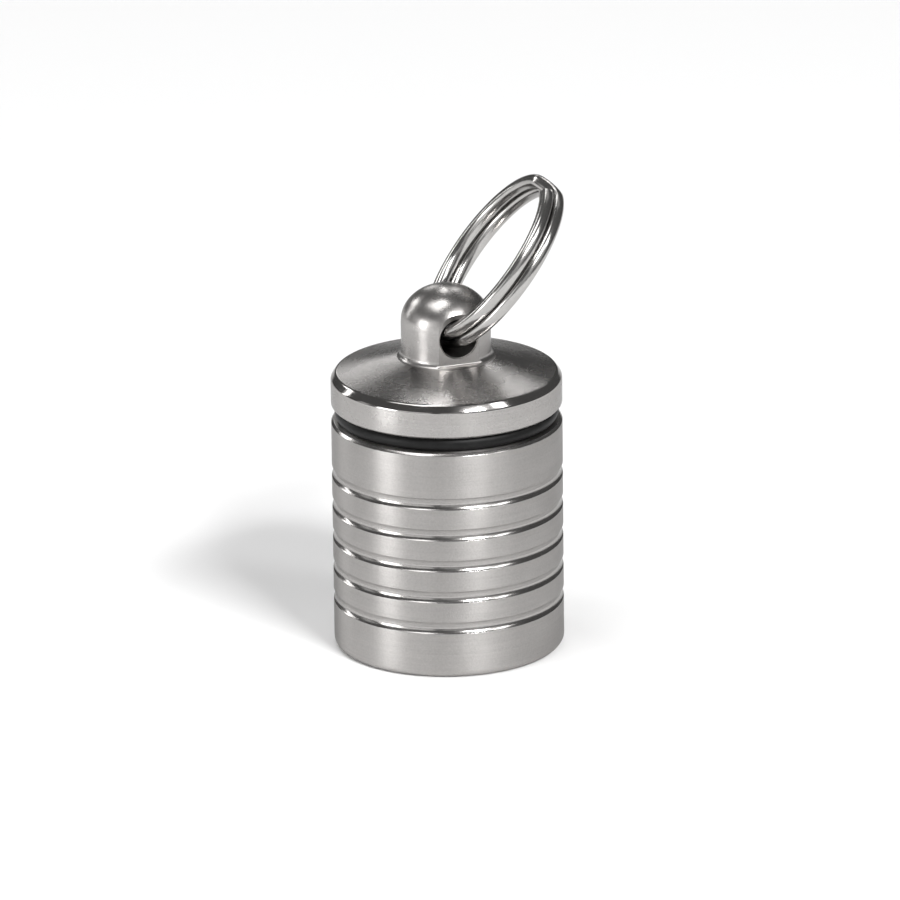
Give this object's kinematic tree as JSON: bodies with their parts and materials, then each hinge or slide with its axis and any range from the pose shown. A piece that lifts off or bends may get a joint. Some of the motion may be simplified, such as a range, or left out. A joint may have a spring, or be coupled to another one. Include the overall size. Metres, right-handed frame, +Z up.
{
  "type": "pill fob",
  "caption": "Grooved round metal pill canister with a rubber-sealed screw cap and a split ring for keys.",
  "frame": {"origin": "centre of the flat base", "axes": "+Z up along the canister's axis to the domed neck; the cross hole through the neck runs along Y; the split ring leans towards +X"},
  "size_m": [0.0245, 0.024, 0.0491],
  "materials": {
    "canister_steel": "fine turned satin, brighter edges",
    "cap_steel": "turned satin with a mottled, tumbled cone and a semi-bright dome",
    "seal_rubber": "matt black",
    "ring_wire": "polished spring wire"
  },
  "bodies": {
    "canister": {"canister": "canister_steel"},
    "seal": {"o_ring": "seal_rubber"},
    "cap": {"cap": "cap_steel"},
    "key_ring": {"split_ring": "ring_wire"}
  },
  "joints": [
    {"name": "cap_lift", "type": "slide", "parent": "canister", "child": "seal", "axis": [0, 0, 1], "range_m": [0, 0.006]},
    {"name": "cap_turn", "type": "hinge", "parent": "seal", "child": "cap", "pos_m": [0, 0, 0], "axis": [0, 0, 1], "range_deg": [0, 1440]},
    {"name": "ring_swing", "type": "hinge", "parent": "cap", "child": "key_ring", "pos_m": [0, 0, 0.0342], "axis": [0, 1, 0], "range_deg": [-138, 65]}
  ],
  "couplings": [
    {"joint": "cap_lift", "follows": "cap_turn", "m_per_rad": 0.00023873}
  ]
}
